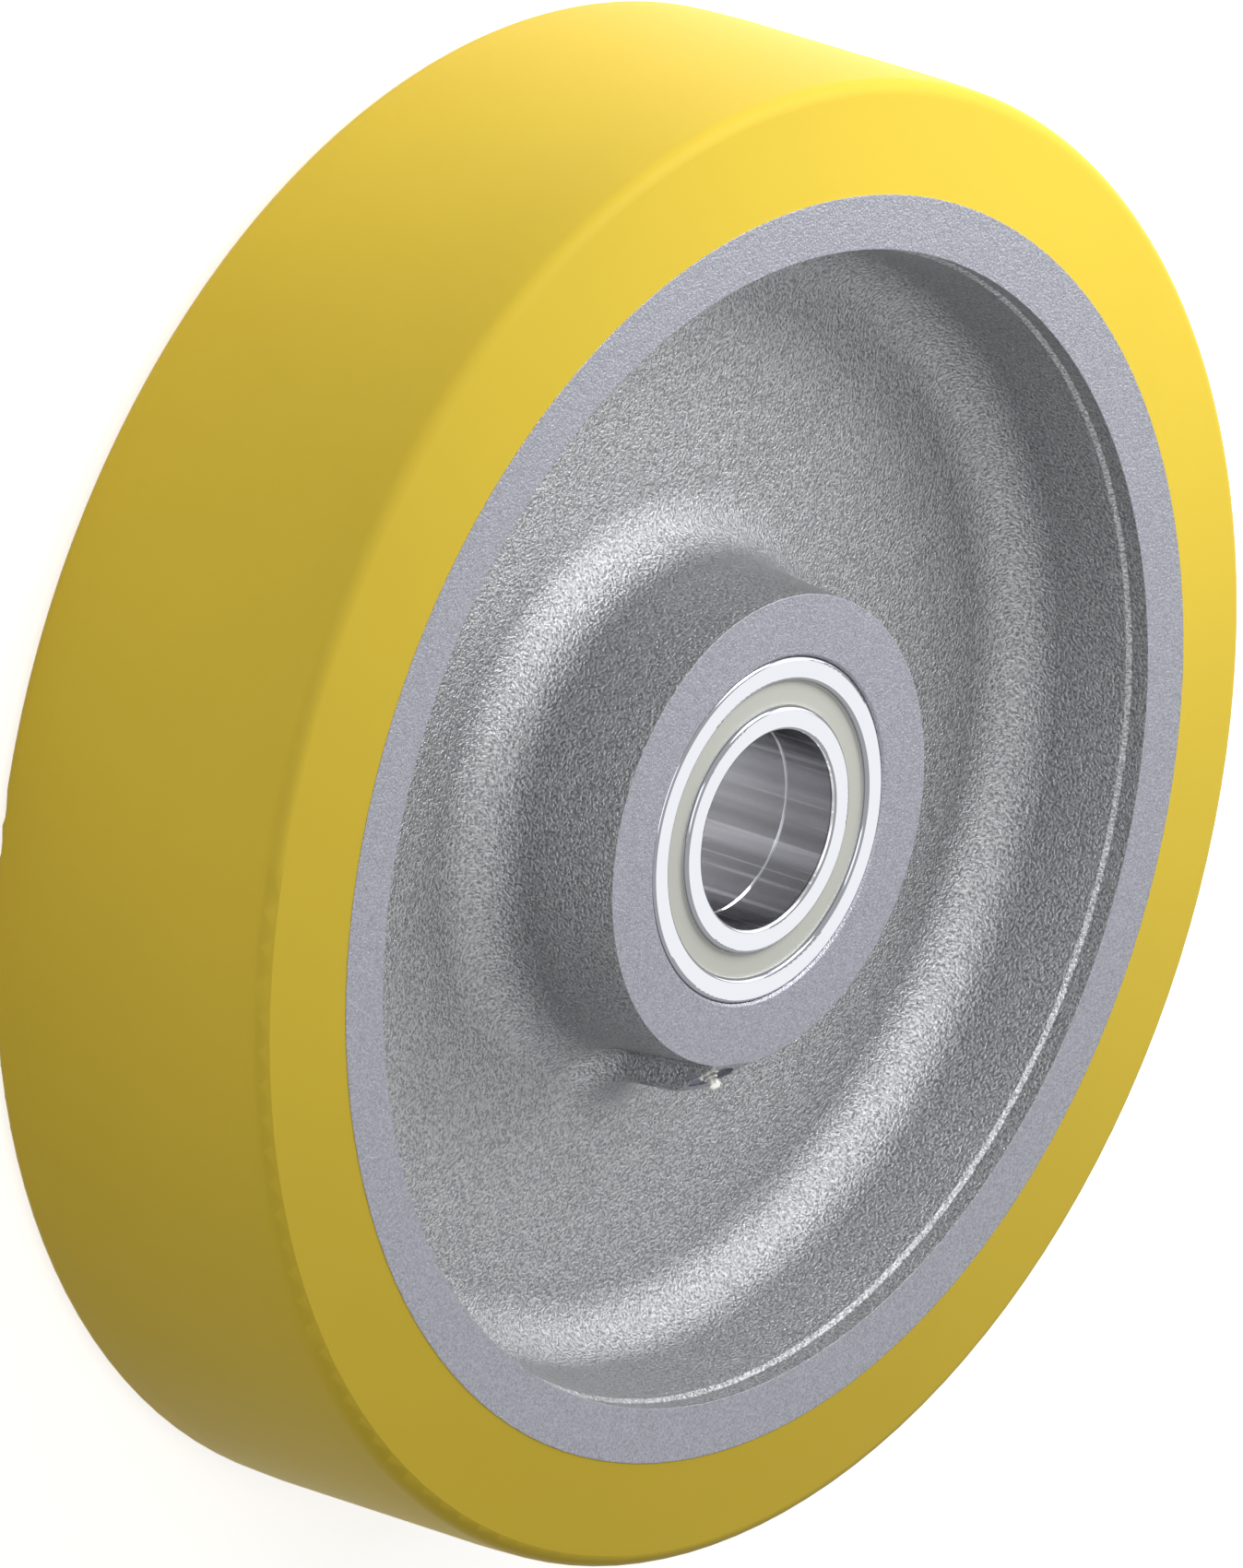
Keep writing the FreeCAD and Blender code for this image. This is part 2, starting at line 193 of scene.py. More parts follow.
class NippleSettings(bpy.types.PropertyGroup):
    plating: colour_setting("Zinc plating", "Plating of the grease nipple", "F2F1EC")
    wire: length_setting("Spring wire", "Thickness of the spring's wire", 0.2)
    coil: length_setting("Spring coil", "Mean diameter of the spring's coil", 1.05)
    turns: IntProperty(name="Spring turns", description="Turns of the spring", default=7, min=1)


class StageSettings(bpy.types.PropertyGroup):
    frame_width: length_setting("Frame width", "Width that the camera's frame shows", 242.86)
    distance: length_setting("Camera distance", "From the camera to the wheel", 9000)
    floor: colour_setting("Floor", "Pale floor", "F6F6F6")
    overhead_level: factor_setting("Overhead light", "Brightness that the near light from above "
                                   "gives a white surface", 0.72)
    front_level: factor_setting("Front light", "Brightness that the wide light from the viewer's "
                                "side gives a white surface", 0.26)
    far_level: factor_setting("Far light", "Brightness that the light from beyond the wheel gives "
                              "a white surface", 0.23)
    fill_level: factor_setting("Fill", "Brightness of the light from all round", 0.14)


class Graph:
    """A material's or world's node tree, with one function that adds a node."""

    def __init__(self, owner):
        owner.use_nodes = True
        self.tree = owner.node_tree
        self.tree.nodes.clear()

    def add(self, kind, inputs=None, **settings):
        """Adds a node with its inputs and settings, and gives back its outputs.

        Each input is named by its socket's name or number, and is a value or another node's output.
        """
        node = self.tree.nodes.new(kind)
        for name, value in settings.items():
            setattr(node, name, value)
        for socket, value in (inputs or {}).items():
            if isinstance(value, bpy.types.NodeSocket):
                self.tree.links.new(value, node.inputs[socket])
            else:
                node.inputs[socket].default_value = value
        return node.outputs


# The sockets of a Mix node, which has other ones for each kind of value.
FACTOR, FIRST, SECOND = 0, 2, 3
FIRST_COLOUR, SECOND_COLOUR, MIXED_COLOUR = 6, 7, 2


def new_material(name):
    """An empty node material and its graph."""
    material = bpy.data.materials.new(name)
    return material, Graph(material)


def dress(material, *nodes):
    """Gives CAD nodes, by name, one material."""
    for name in nodes:
        mesh = frame["nodes"][name].data
        mesh.materials.clear()
        mesh.materials.append(material)


def both_sides(*names):
    """The node names of a bearing's pieces, front and back."""
    return [side + "_" + name for side in ("front", "back") for name in names]


def shade(colour, share):
    """A colour made lighter or darker by a share, with full alpha, as a colour socket takes it."""
    return (*(min(1.0, c * share) for c in colour), 1.0)


def shades(colour, first, second):
    """Inputs between which a Mix node runs, as a colour's two shades, by their shares of it."""
    return {FIRST_COLOUR: shade(colour, first), SECOND_COLOUR: shade(colour, second)}


def radius_of(graph, place):
    """The distance of the shaded point from the axle: the root of x squared plus y squared."""
    x, y, _ = graph.add("ShaderNodeSeparateXYZ", {"Vector": place})
    across = graph.add("ShaderNodeMath", {0: x, 1: x}, operation="MULTIPLY")[0]
    along = graph.add("ShaderNodeMath", {0: y, 1: y}, operation="MULTIPLY")[0]
    squares = graph.add("ShaderNodeMath", {0: across, 1: along}, operation="ADD")[0]
    return graph.add("ShaderNodeMath", {0: squares}, operation="SQRT")[0]


def within(graph, source, low, high):
    """One where a number lies between two limits, and zero outside them.

    There, its distance from the limits' middle is less than half the gap between them.
    """
    away = graph.add("ShaderNodeMath", {0: source, 1: (low + high) / 2}, operation="SUBTRACT")[0]
    away = graph.add("ShaderNodeMath", {0: away}, operation="ABSOLUTE")[0]
    return graph.add("ShaderNodeMath", {0: away, 1: (high - low) / 2}, operation="LESS_THAN")[0]


def edge_rounding(graph, place):
    """Width over which the casting's shading runs round an edge.

    The sand rounds each edge by a fraction of a millimetre. The flared foot of the nipple boss runs
    into the web over several millimetres.
    """
    sand, flare = 0.3 * MM, 8 * MM
    foot = 1.0
    for part, limits in zip(graph.add("ShaderNodeSeparateXYZ", {"Vector": place}), BOSS_FOOT):
        foot = graph.add("ShaderNodeMath", {0: foot, 1: within(graph, part, *limits)},
                         operation="MULTIPLY")[0]
    return graph.add("ShaderNodeMix", {FACTOR: foot, FIRST: sand, SECOND: flare})[0]


def nipple_seat(graph, place):
    """One in the turned seat round the grease nipple, and zero elsewhere.

    The distance from the nipple's axis is the length of the cross product of the axis with the way
    from the nipple's middle to the point.
    """
    low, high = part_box("grease_nipple")
    away = graph.add("ShaderNodeVectorMath", {0: place, 1: (low + high) / 2},
                     operation="SUBTRACT")[0]
    across = graph.add("ShaderNodeVectorMath", {0: away, 1: NIPPLE_AXIS},
                       operation="CROSS_PRODUCT")[0]
    distance = graph.add("ShaderNodeVectorMath", {0: across}, operation="LENGTH")["Value"]
    return graph.add("ShaderNodeMath", {0: distance, 1: NIPPLE_SEAT}, operation="LESS_THAN")[0]


def turned_places(graph, place):
    """Two masks, one inside and zero outside: all turned places, and the nipple's seat alone.

    The turned places are the end faces, the bearings' seats and the nipple's seat.
    """
    height = graph.add("ShaderNodeSeparateXYZ", {"Vector": place})["Z"]
    height = graph.add("ShaderNodeMath", {0: height}, operation="ABSOLUTE")[0]
    turned = graph.add("ShaderNodeMath", {0: height, 1: FRONT_FACE - FINISH_DEPTH},
                       operation="GREATER_THAN")[0]
    bearing_seat = graph.add("ShaderNodeMath", {0: radius_of(graph, place), 1: BEARING_SEAT},
                             operation="LESS_THAN")[0]
    spot_face = nipple_seat(graph, place)
    for seat in (bearing_seat, spot_face):
        turned = graph.add("ShaderNodeMath", {0: turned, 1: seat}, operation="MAXIMUM")[0]
    return turned, spot_face


def lacquered_casting():
    """Grey cast iron from a sand mould, blasted and lacquered silver-grey, with turned faces.

    The sand leaves round grains under a millimetre wide that glint through the lacquer. Between
    them the lacquer's colour is darkened, as painted shade in the low places of the grain. The
    hub's and the rim's end faces are turned before the lacquer, so they keep only a fine, even
    grain, with none of that painted shade.
    """
    look = bpy.context.scene.wheel_casting
    material, graph = new_material("lacquered_sand_cast_iron")
    place = graph.add("ShaderNodeTexCoord")["Object"]
    turned, spot_face = turned_places(graph, place)
    grains = graph.add("ShaderNodeTexNoise",
                       {"Vector": place, "Scale": 1 / look.grain, "Detail": 2.5,
                        "Roughness": 0.6})[0]
    fine = graph.add("ShaderNodeTexNoise",
                     {"Vector": place, "Scale": TURNED_FINENESS / look.grain, "Detail": 1.0,
                      "Roughness": 0.5})[0]
    patches = graph.add("ShaderNodeTexNoise",
                        {"Vector": place, "Scale": 1 / LACQUER_PATCH, "Detail": 3.0,
                         "Roughness": 0.6})[0]
    relief = graph.add("ShaderNodeMix", {FACTOR: turned, FIRST: grains, SECOND: fine})[0]
    turned_height = graph.add("ShaderNodeMix",
                              {FACTOR: spot_face, FIRST: TURNED_RELIEF * look.grain_height,
                               SECOND: NIPPLE_SEAT_RELIEF * look.grain_height})[0]
    relief_height = graph.add("ShaderNodeMix",
                              {FACTOR: turned, FIRST: look.grain_height, SECOND: turned_height})[0]
    lacquer = graph.add("ShaderNodeMix", {FACTOR: patches, **shades(look.lacquer, 1.1, 1.3)},
                        data_type="RGBA")[MIXED_COLOUR]
    # Painted shade: where the grain is low, the lacquer's colour runs down to about half.
    painted_hollow_shade = graph.add("ShaderNodeMapRange",
                        {"Value": grains, "From Min": 0.62, "From Max": 0.34})[0]
    lacquer_with_painted_shade = graph.add("ShaderNodeMix",
                         {FACTOR: painted_hollow_shade, FIRST_COLOUR: lacquer,
                          SECOND_COLOUR: shade(look.lacquer, 0.52)},
                         data_type="RGBA")[MIXED_COLOUR]
    pores = graph.add("ShaderNodeMix", {FACTOR: fine, **shades(look.machined, 0.5, 1.5)},
                      data_type="RGBA")[MIXED_COLOUR]
    base = graph.add("ShaderNodeMix",
                     {FACTOR: turned, FIRST_COLOUR: lacquer_with_painted_shade, SECOND_COLOUR: pores},
                     data_type="RGBA")[MIXED_COLOUR]
    gloss = graph.add("ShaderNodeMix", {FACTOR: turned, FIRST: look.gloss_spread, SECOND: 0.45})[0]
    blend = graph.add("ShaderNodeBevel", {"Radius": edge_rounding(graph, place)}, samples=6)[0]
    bump = graph.add("ShaderNodeBump",
                     {"Height": relief, "Distance": relief_height, "Normal": blend,
                      "Strength": 1.0})[0]
    # The lacquer's metal flakes reflect as a metal does, and its clear resin between them doesn't.
    shader = graph.add("ShaderNodeBsdfPrincipled",
                       {"Base Color": base, "Roughness": gloss, "Normal": bump, "Metallic": 0.8})[0]
    graph.add("ShaderNodeOutputMaterial", {"Surface": shader})
    return material


def cast_polyurethane():
    """Yellow polyurethane elastomer, cast in a polished steel mould and left unpainted.

    It has a soft, low gloss, a slight cloudiness where the resin flowed, and a skin so smooth that
    only a faint orange peel breaks its highlights.
    """
    look = bpy.context.scene.wheel_tyre
    material, graph = new_material("cast_polyurethane")
    place = graph.add("ShaderNodeTexCoord")["Object"]
    clouds = graph.add("ShaderNodeTexNoise",
                       {"Vector": place, "Scale": 1 / RESIN_CLOUD, "Detail": 3.0,
                        "Roughness": 0.55})[0]
    peel = graph.add("ShaderNodeTexNoise",
                     {"Vector": place, "Scale": 1 / ORANGE_PEEL, "Detail": 1.0,
                      "Roughness": 0.5})[0]
    base = graph.add("ShaderNodeMix", {FACTOR: clouds, **shades(look.colour, 0.96, 1.04)},
                     data_type="RGBA")[MIXED_COLOUR]
    gloss = graph.add("ShaderNodeMix",
                      {FACTOR: clouds, FIRST: look.gloss_spread - 0.03,
                       SECOND: look.gloss_spread + 0.03})[0]
    bump = graph.add("ShaderNodeBump", {"Height": peel, "Distance": 0.008 * MM, "Strength": 1.0})[0]
    shader = graph.add("ShaderNodeBsdfPrincipled",
                       {"Base Color": base, "Roughness": gloss, "Normal": bump, "IOR": 1.5,
                        "Specular IOR Level": 0.07})[0]
    graph.add("ShaderNodeOutputMaterial", {"Surface": shader})
    return material


def bore_colour_with_painted_reflections(graph, place, colour):
    """Steel honed along the axle, with painted reflections: broad light and dark streaks and thin
    bright painted glints stand in for the surroundings that the bore mirrors.

    Both patterns are stretched along the axle, as the bore's reflections are.
    """
    lengthwise = graph.add("ShaderNodeMapping",
                           {"Vector": place, "Scale": (1.0, 1.0, 1 / PAINTED_STREAK_STRETCH)})[0]
    # Painted reflection: broad light and dark streaks along the axle, from 0.76 to 1.24 times the
    # colour.
    painted_reflection_bands = graph.add("ShaderNodeTexNoise",
                      {"Vector": lengthwise, "Scale": 1 / PAINTED_REFLECTION_BAND, "Detail": 2.0,
                       "Roughness": 0.5})[0]
    painted_reflection_bands = graph.add("ShaderNodeMapRange", {"Value": painted_reflection_bands, "From Min": 0.36, "From Max": 0.64})[0]
    painted_reflection_colour = graph.add("ShaderNodeMix", {FACTOR: painted_reflection_bands, **shades(colour, 0.76, 1.24)},
                       data_type="RGBA")[MIXED_COLOUR]
    # Painted glints: thin streaks where the colour is lifted to 1.7 times, as bright reflections.
    painted_glints = graph.add("ShaderNodeTexNoise",
                       {"Vector": lengthwise, "Scale": 1 / PAINTED_GLINT_WIDTH, "Detail": 1.0,
                        "Roughness": 0.5})[0]
    painted_glints = graph.add("ShaderNodeMapRange",
                       {"Value": painted_glints, "From Min": 0.58, "From Max": 0.7})[0]
    return graph.add("ShaderNodeMix",
                     {FACTOR: painted_glints, FIRST_COLOUR: painted_reflection_colour, SECOND_COLOUR: shade(colour, 1.7)},
                     data_type="RGBA")[MIXED_COLOUR]


def ground_steel(name, colour, corner, bore_colour, bore_radius):
    """Hardened bearing steel, ground on a turning spindle, so its fine lines run round the axle.

    The curved corners are left as they were turned and hardened, and their colour is painted
    darker, as painted shade for the dark reflections that their curves catch. A point nearer to the
    axle than bore_radius lies in a bore, which is honed along the axle, oiled and duller, and whose
    colour carries painted reflection streaks and painted glints.
    """
    material, graph = new_material(name)
    coordinates = graph.add("ShaderNodeTexCoord")
    place = coordinates["Object"]
    radius = radius_of(graph, place)
    height = graph.add("ShaderNodeSeparateXYZ", {"Vector": place})["Z"]
    in_bore = graph.add("ShaderNodeMath", {0: radius, 1: bore_radius}, operation="LESS_THAN")[0]
    lines = graph.add("ShaderNodeCombineXYZ", {"X": radius, "Y": height})[0]
    marks = graph.add("ShaderNodeTexNoise",
                      {"Vector": lines, "Scale": 1 / GRINDING_MARK, "Detail": 2.0,
                       "Roughness": 0.6})[0]
    facing = graph.add("ShaderNodeSeparateXYZ", {"Vector": coordinates["Normal"]})["Z"]
    facing = graph.add("ShaderNodeMath", {0: facing}, operation="ABSOLUTE")[0]
    # Painted shade: the curved corners, found by how far they face along the axle, take the darker
    # corner colour.
    painted_corner_shade = within(graph, facing, *CORNER_FACING)
    skin = graph.add("ShaderNodeMix",
                     {FACTOR: painted_corner_shade, FIRST_COLOUR: shade(colour, 1.0),
                      SECOND_COLOUR: shade(corner, 1.0)},
                     data_type="RGBA")[MIXED_COLOUR]
    base = graph.add("ShaderNodeMix",
                     {FACTOR: in_bore, FIRST_COLOUR: skin,
                      SECOND_COLOUR: bore_colour_with_painted_reflections(graph, place, bore_colour)},
                     data_type="RGBA")[MIXED_COLOUR]
    polish = graph.add("ShaderNodeMix", {FACTOR: marks, FIRST: 0.06, SECOND: 0.14})[0]
    gloss = graph.add("ShaderNodeMix", {FACTOR: in_bore, FIRST: polish, SECOND: 0.22})[0]
    bump = graph.add("ShaderNodeBump",
                     {"Height": marks, "Distance": 0.0015 * MM, "Strength": 1.0})[0]
    shader = graph.add("ShaderNodeBsdfPrincipled",
                       {"Base Color": base, "Roughness": gloss, "Normal": bump, "Metallic": 1.0})[0]
    graph.add("ShaderNodeOutputMaterial", {"Surface": shader})
    return material


def moulded_seal():
    """Pale grey seal disc, matt from its mould, with a very fine even grain."""
    look = bpy.context.scene.wheel_bearings
    material, graph = new_material("moulded_seal")
    place = graph.add("ShaderNodeTexCoord")["Object"]
    grain = graph.add("ShaderNodeTexNoise",
                      {"Vector": place, "Scale": 1 / SEAL_GRAIN, "Detail": 2.0,
                       "Roughness": 0.5})[0]
    base = graph.add("ShaderNodeMix", {FACTOR: grain, **shades(look.seal, 0.97, 1.03)},
                     data_type="RGBA")[MIXED_COLOUR]
    bump = graph.add("ShaderNodeBump",
                     {"Height": grain, "Distance": 0.006 * MM, "Strength": 1.0})[0]
    shader = graph.add("ShaderNodeBsdfPrincipled",
                       {"Base Color": base, "Normal": bump, "Roughness": 0.55, "IOR": 1.5})[0]
    graph.add("ShaderNodeOutputMaterial", {"Surface": shader})
    return material


def pressed_steel(name, colour, roughness):
    """Cold-rolled sheet or wire with the rolling's faint, even mottle."""
    material, graph = new_material(name)
    place = graph.add("ShaderNodeTexCoord")["Object"]
    mottle = graph.add("ShaderNodeTexNoise",
                       {"Vector": place, "Scale": 1 / ROLLING_MOTTLE, "Detail": 2.0,
                        "Roughness": 0.5})[0]
    base = graph.add("ShaderNodeMix", {FACTOR: mottle, **shades(colour, 0.93, 1.05)},
                     data_type="RGBA")[MIXED_COLOUR]
    gloss = graph.add("ShaderNodeMix",
                      {FACTOR: mottle, FIRST: roughness - 0.05, SECOND: roughness + 0.05})[0]
    shader = graph.add("ShaderNodeBsdfPrincipled",
                       {"Base Color": base, "Roughness": gloss, "Metallic": 1.0})[0]
    graph.add("ShaderNodeOutputMaterial", {"Surface": shader})
    return material


def new_piece(name, points, faces, material, body):
    """A smooth mesh piece at the origin that rides on a body and takes a material slot.

    Points that lie on each other, as at a pole, are merged, so that the mesh is closed.
    """
    mesh = bpy.data.meshes.new(name)
    mesh.from_pydata(points.tolist(), [], faces.tolist())
    shell = bmesh.new()
    shell.from_mesh(mesh)
    bmesh.ops.remove_doubles(shell, verts=shell.verts, dist=MM / 1000)
    shell.to_mesh(mesh)
    shell.free()
    mesh.polygons.foreach_set("use_smooth", np.ones(len(mesh.polygons), bool))
    mesh.materials.append(material)
    mesh.validate()
    piece = bpy.data.objects.new(name, mesh)
    bpy.context.scene.collection.objects.link(piece)
    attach(piece, body)
    return piece


def tube_faces(rows, columns):
    """Quads of a grid of rows whose last column meets its first."""
    row, column = np.meshgrid(np.arange(rows - 1), np.arange(columns), indexing="ij")
    beside = (column + 1) % columns
    quads = np.stack([row * columns + column, row * columns + beside,
                      (row + 1) * columns + beside, (row + 1) * columns + column], axis=-1)
    return quads.reshape(-1, 4)


def coil_surface(start, axis, rise, coil_radius, wire_radius, turns):
    """Points and faces of a coiled wire, its ends drawn to a point so that they are closed.

    The wire's middle line is a helix: after a share s of its length it has turned by 2 pi times
    turns times s about the axis and risen by rise times s. Round it lies a circle of the wire's
    radius, in the plane across the helix, which shrinks to nothing at both ends.
    """
    share = np.linspace(0, 1, COIL_STEPS * turns + 1)
    share = np.concatenate([[0], share, [1]])
    size = np.ones(len(share))
    size[[0, -1]] = 0
    turn = 2 * math.pi * turns * share
    across = axis.orthogonal().normalized()
    beside = np.array(axis.cross(across))
    across = np.array(across)
    up = np.array(axis)
    out = np.cos(turn)[:, None] * across + np.sin(turn)[:, None] * beside
    middle = np.array(start) + coil_radius * out + rise * share[:, None] * up
    forward = coil_radius * 2 * math.pi * turns * (
        -np.sin(turn)[:, None] * across + np.cos(turn)[:, None] * beside) + rise * up
    forward /= np.linalg.norm(forward, axis=1, keepdims=True)
    over = np.cross(forward, out)
    angle = np.linspace(0, 2 * math.pi, WIRE_SIDES, endpoint=False)
    ring = (np.cos(angle)[None, :, None] * out[:, None, :]
            + np.sin(angle)[None, :, None] * over[:, None, :])
    points = middle[:, None, :] + wire_radius * size[:, None, None] * ring
    return points.reshape(-1, 3), tube_faces(len(share), WIRE_SIDES)


class WHEEL_OT_finish_casting(bpy.types.Operator):
    """Lacquer the iron wheel centre"""

    bl_idname = "wheel.finish_casting"
    bl_label = "Finish Casting"

    def execute(self, context):
        dress(lacquered_casting(), "wheel_centre")
        return {"FINISHED"}


class WHEEL_OT_finish_tyre(bpy.types.Operator):
    """Give the tyre its cast polyurethane"""

    bl_idname = "wheel.finish_tyre"
    bl_label = "Finish Tyre"

    def execute(self, context):
        dress(cast_polyurethane(), "tyre")
        return {"FINISHED"}


class WHEEL_OT_finish_bearings(bpy.types.Operator):
    """Grind the bearing rings, balls and spacer, and finish the cages and seals"""

    bl_idname = "wheel.finish_bearings"
    bl_label = "Finish Bearings"

    def execute(self, context):
        look = context.scene.wheel_bearings
        dress(ground_steel("ground_bearing_steel", look.steel, look.corner, look.bore, RING_BORE),
              *both_sides("outer_ring", "inner_ring"))
        dress(ground_steel("ground_ball_steel", look.steel, look.steel, look.bore, RING_BORE),
              *both_sides("balls"))
        dress(ground_steel("turned_spacer_steel", look.bore, look.corner, look.bore, SPACER_BORE),
              "spacer_tube")
        dress(pressed_steel("pressed_cage_steel", look.cage, roughness=0.3),
              *both_sides("cage_half_outboard", "cage_half_inboard", "cage_rivets"))
        dress(moulded_seal(), *both_sides("seal"))
        return {"FINISHED"}


class WHEEL_OT_finish_nipple(bpy.types.Operator):
    """Plate the grease nipple and wind its spring"""

    bl_idname = "wheel.finish_nipple"
    bl_label = "Finish Grease Nipple"

    def execute(self, context):
        look = context.scene.wheel_nipple
        plated = pressed_steel("zinc_plated_steel", look.plating, roughness=0.38)
        dress(plated, "grease_nipple")
        polished = pressed_steel("valve_ball_steel", look.plating, roughness=0.12)
        dress(polished, "nipple_ball")

        # The spring leans in its box, from one corner to the other. Each end of its middle line
        # lies in from the corner by the coil's outer radius, across the lean.
        low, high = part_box("nipple_spring")
        inset = (look.coil + look.wire) / 2 * NIPPLE_AXIS
        middle = (low.y + high.y) / 2
        start = Vector((low.x + inset.x, middle, low.z + inset.z))
        end = Vector((high.x - inset.x, middle, high.z - inset.z))
        length = (end - start).length
        points, faces = coil_surface(start, NIPPLE_AXIS, length, look.coil / 2, look.wire / 2,
                                     look.turns)
        wire = pressed_steel("drawn_spring_wire", look.plating, roughness=0.25)
        spring = new_piece("wound_spring", points, faces, wire, "wheel")
        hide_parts("nipple_spring")
        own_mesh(spring)
        return {"FINISHED"}


def add_softbox(name, level, heading, distance, side):
    """A square softbox of white light that faces the wheel.

    Its heading from the wheel is given along the axle, up the picture and towards the viewer. A
    white surface that faces it shows the level asked for: the lamp's power is that level times pi
    squared times its distance squared.
    """
    lamp = bpy.data.lights.new(name, "AREA")
    lamp.shape = "SQUARE"
    lamp.size = side
    lamp.energy = level * (math.pi * distance) ** 2
    holder = bpy.data.objects.new(name, lamp)
    bpy.context.scene.collection.objects.link(holder)
    along, up, towards = heading
    direction = (along * AXLE + up * PICTURE_UP + towards * TOWARDS_VIEWER).normalized()
    holder.matrix_world = (Matrix.Translation(direction * distance)
                           @ direction.to_track_quat("Z", "Y").to_matrix().to_4x4())


def seen_directly(graph):
    """One where a camera, glossy or transmission ray looks, and zero for the light's own rays."""
    path = graph.add("ShaderNodeLightPath")
    seen = graph.add("ShaderNodeMath", {0: path["Is Camera Ray"], 1: path["Is Glossy Ray"]},
                     operation="MAXIMUM")[0]
    return graph.add("ShaderNodeMath", {0: seen, 1: path["Is Transmission Ray"]},
                     operation="MAXIMUM")[0]


def white_world(level):
    """A white background for what looks at it, and an even fill light on everything."""
    world = bpy.data.worlds.new("studio")
    graph = Graph(world)
    strength = graph.add("ShaderNodeMix",
                         {FACTOR: seen_directly(graph), FIRST: level, SECOND: 1.0})[0]
    background = graph.add("ShaderNodeBackground", {"Strength": strength, "Color": (1, 1, 1, 1)})[0]
    graph.add("ShaderNodeOutputWorld", {"Surface": background})
    bpy.context.scene.world = world


def pale_floor_paint(colour):
    """Matt pale paint that shows as the white background where it is lit, and keeps the shadow."""
    material, graph = new_material("pale_floor_paint")
    paint = graph.add("ShaderNodeBsdfDiffuse", {"Color": shade(colour, 1.0)})[0]
    share = graph.add("ShaderNodeMath", {0: seen_directly(graph), 1: FLOOR_GLOW},
                      operation="MULTIPLY")[0]
    glow = graph.add("ShaderNodeEmission", {"Strength": share, "Color": (1, 1, 1, 1)})[0]
    both = graph.add("ShaderNodeAddShader", {0: paint, 1: glow})[0]
    graph.add("ShaderNodeOutputMaterial", {"Surface": both})
    return material


def lay_floor(colour):
    """Lays a flat disc under the wheel: a circle's points at even angles, at the back face."""
    angle = np.linspace(0, 2 * math.pi, FLOOR_CORNERS, endpoint=False)
    points = np.stack([FLOOR_RADIUS * np.cos(angle), FLOOR_RADIUS * np.sin(angle),
                       np.full_like(angle, BACK_FACE)], axis=1)
    mesh = bpy.data.meshes.new("floor")
    mesh.from_pydata(points.tolist(), [], [list(range(len(points)))])
    mesh.materials.append(pale_floor_paint(colour))
    floor = bpy.data.objects.new("floor", mesh)
    bpy.context.scene.collection.objects.link(floor)


def place_camera(distance, frame_width):
    """Places the camera at the photograph's view.

    Its view runs against the direction with VIEW_RISE along the axle and VIEW_SPREAD towards the
    viewer. The picture's right is the axle as the picture shows it, turned up by PICTURE_LEAN. The
    lens is the sensor's width times the distance over the width that the frame shows.
    """
    towards_camera = VIEW_RISE * AXLE + VIEW_SPREAD * TOWARDS_VIEWER
    shown_axle = VIEW_SPREAD * AXLE - VIEW_RISE * TOWARDS_VIEWER
    right = math.cos(PICTURE_LEAN) * shown_axle + math.sin(PICTURE_LEAN) * PICTURE_UP
    up = -math.sin(PICTURE_LEAN) * shown_axle + math.cos(PICTURE_LEAN) * PICTURE_UP
    camera = bpy.data.cameras.new("camera")
    camera.sensor_fit = "HORIZONTAL"
    camera.lens = camera.sensor_width * distance / frame_width
    camera.clip_end = 100
    holder = bpy.data.objects.new("camera", camera)
    bpy.context.scene.collection.objects.link(holder)
    turn = Matrix((right, up, towards_camera)).transposed().to_4x4()
    holder.matrix_world = Matrix.Translation(towards_camera * distance) @ turn
    bpy.context.scene.camera = holder


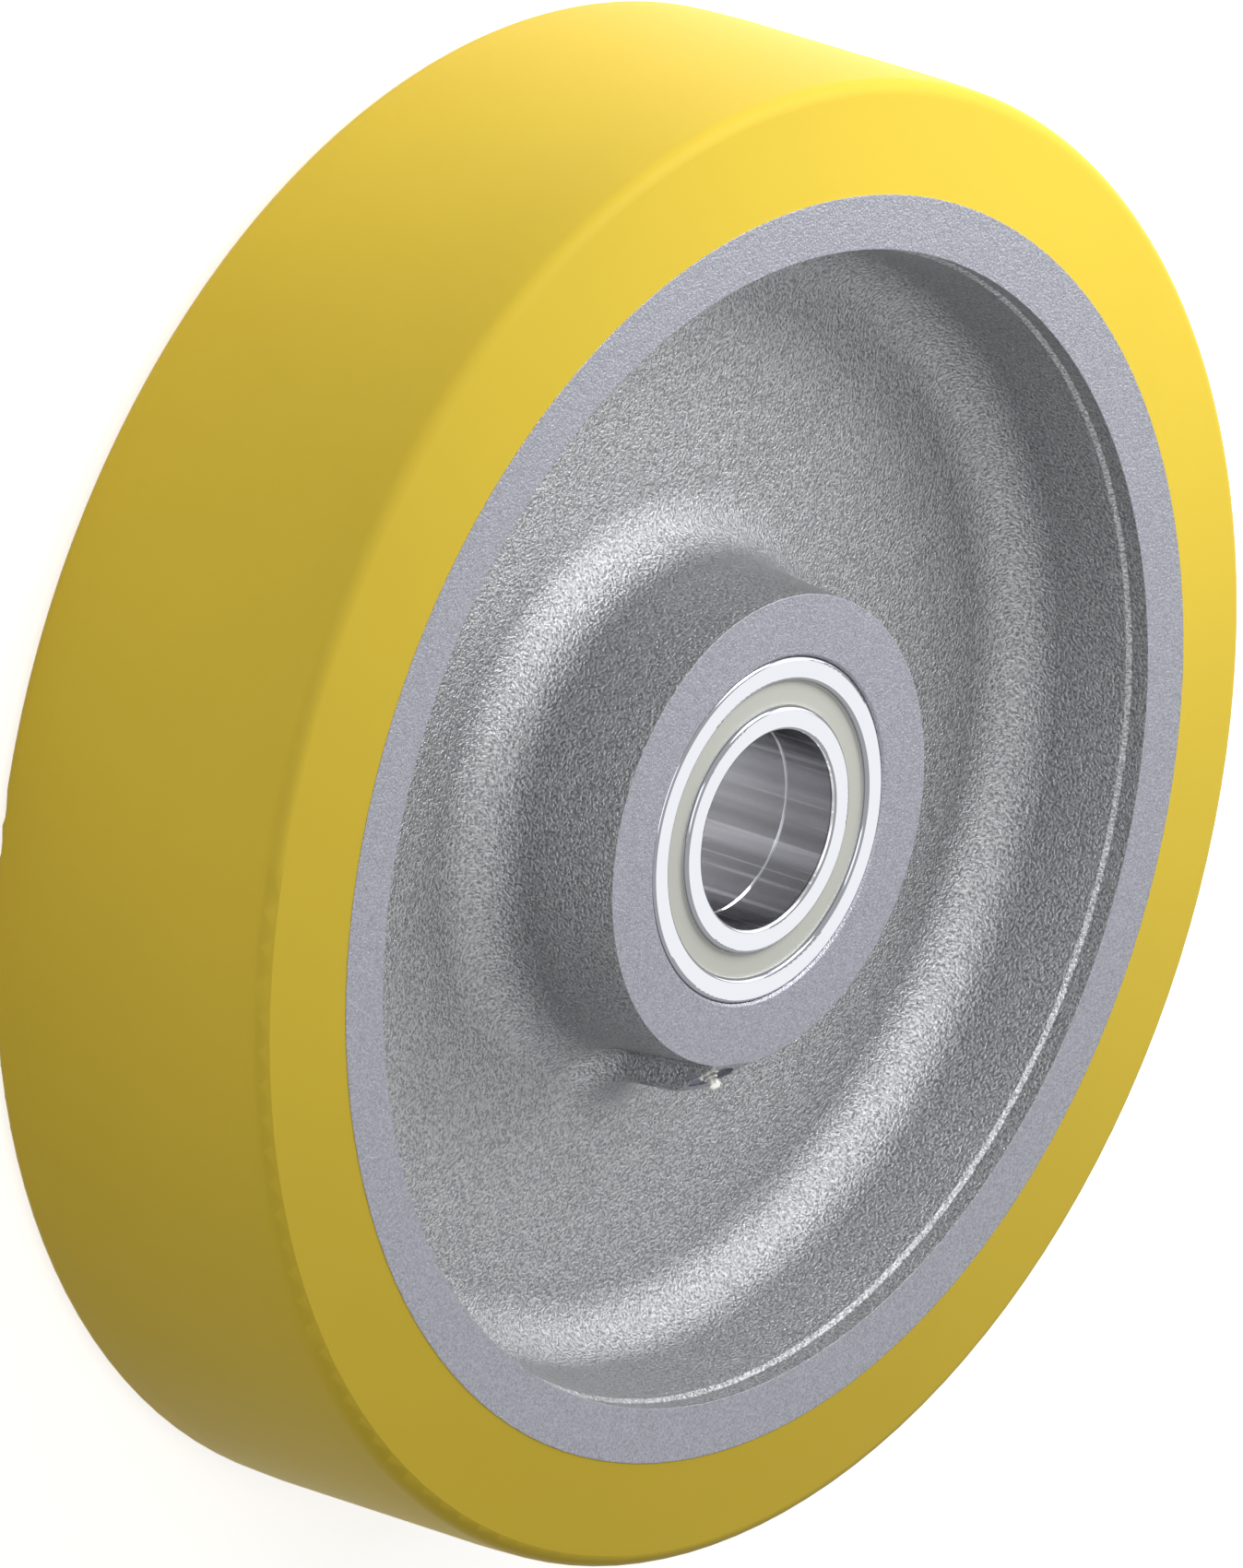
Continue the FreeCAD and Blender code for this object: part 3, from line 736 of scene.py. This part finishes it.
class WHEEL_OT_set_stage(bpy.types.Operator):
    """Lay the floor, hang the lights and place the camera at the photograph's view"""

    bl_idname = "wheel.set_stage"
    bl_label = "Set Stage"

    def execute(self, context):
        look = context.scene.wheel_stage
        context.scene.view_settings.view_transform = "Standard"
        lay_floor(look.floor)
        white_world(look.fill_level)
        add_softbox("overhead_softbox", look.overhead_level, heading=(0.6, 0.79, -0.08),
                    distance=0.6, side=0.3)
        add_softbox("front_softbox", look.front_level, heading=(0.6, 0, 0.8),
                    distance=1.6, side=1.0)
        add_softbox("far_softbox", look.far_level, heading=(0.5, 0.6, -0.62),
                    distance=0.7, side=0.4)
        place_camera(look.distance, look.frame_width)
        return {"FINISHED"}


class WHEEL_PT_panel(bpy.types.Panel):
    """The wheel's pieces and its stage, in the 3D view's sidebar"""

    bl_idname = "WHEEL_PT_panel"
    bl_label = "Heavy-Duty Wheel"
    bl_space_type = "VIEW_3D"
    bl_region_type = "UI"
    bl_category = "Wheel"

    def draw(self, context):
        for operator, settings in STEPS:
            box = self.layout.box()
            box.operator(operator)
            group = getattr(context.scene, settings)
            for name in group.bl_rna.properties.keys():
                if name not in ("rna_type", "name"):
                    box.prop(group, name)


STEPS = (
    ("wheel.finish_casting", "wheel_casting"),
    ("wheel.finish_tyre", "wheel_tyre"),
    ("wheel.finish_bearings", "wheel_bearings"),
    ("wheel.finish_nipple", "wheel_nipple"),
    ("wheel.set_stage", "wheel_stage"),
)

SETTINGS = {
    "wheel_casting": CastingSettings,
    "wheel_tyre": TyreSettings,
    "wheel_bearings": BearingSettings,
    "wheel_nipple": NippleSettings,
    "wheel_stage": StageSettings,
}

CLASSES = (*SETTINGS.values(), WHEEL_OT_finish_casting, WHEEL_OT_finish_tyre,
           WHEEL_OT_finish_bearings, WHEEL_OT_finish_nipple, WHEEL_OT_set_stage, WHEEL_PT_panel)


def register():
    """Registers the classes and hangs the settings on the scene."""
    for cls in CLASSES:
        bpy.utils.register_class(cls)
    for name, group in SETTINGS.items():
        setattr(bpy.types.Scene, name, PointerProperty(type=group))


def unregister():
    """Takes the settings and the classes away again."""
    for name in SETTINGS:
        delattr(bpy.types.Scene, name)
    for cls in reversed(CLASSES):
        bpy.utils.unregister_class(cls)


def main():
    """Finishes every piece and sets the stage."""
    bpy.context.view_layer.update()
    register()
    bpy.ops.wheel.finish_casting()
    bpy.ops.wheel.finish_tyre()
    bpy.ops.wheel.finish_bearings()
    bpy.ops.wheel.finish_nipple()
    bpy.ops.wheel.set_stage()


if __name__ == "__main__":
    main()
